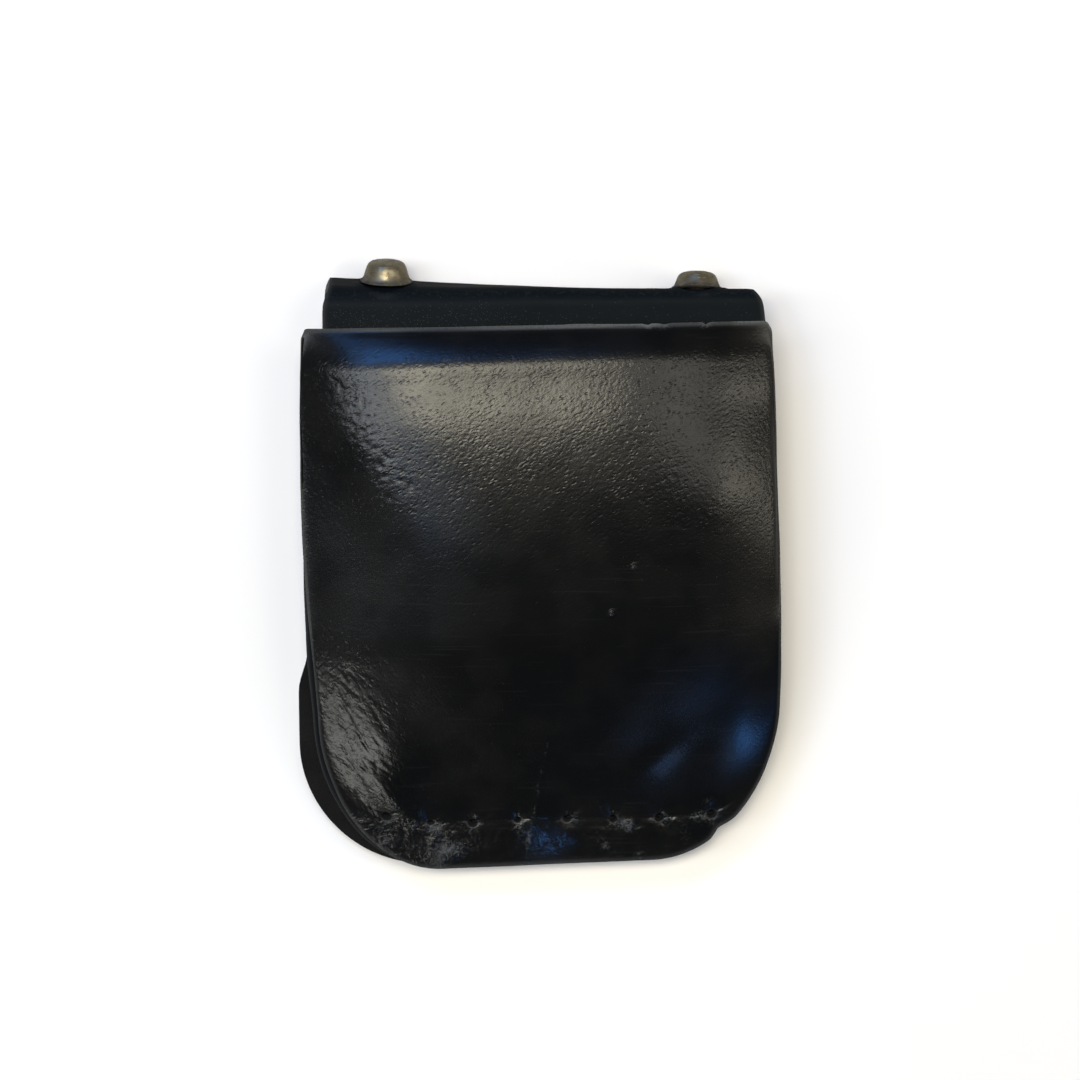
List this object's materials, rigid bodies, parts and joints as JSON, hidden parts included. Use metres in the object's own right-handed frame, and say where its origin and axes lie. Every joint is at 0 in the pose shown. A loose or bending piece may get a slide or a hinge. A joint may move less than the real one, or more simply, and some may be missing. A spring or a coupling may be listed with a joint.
{
  "type": "studded leather belt pouch",
  "caption": "Small black leather belt pouch: swollen front with an open mouth, back folded over as a belt loop, domed studs on the fold, sewn along the bottom.",
  "frame": {"origin": "on the surface it lies on, under the middle of its bounding box", "axes": "+Z out of the front, which faces up as it lies on its back; +Y towards the folded, studded top edge; +X to the right of the front"},
  "size_m": [0.0836, 0.1066, 0.0239],
  "materials": {
    "black_leather_front": "worn semi-gloss black, pebble grain",
    "black_leather_strap": "dull black, dusty",
    "aged_nickel": "aged nickel plate, softly polished"
  },
  "bodies": {
    "root": {"front_panel": "black_leather_front", "back_and_belt_loop": "black_leather_strap", "stud_left": "aged_nickel", "stud_right": "aged_nickel"}
  },
  "joints": []
}
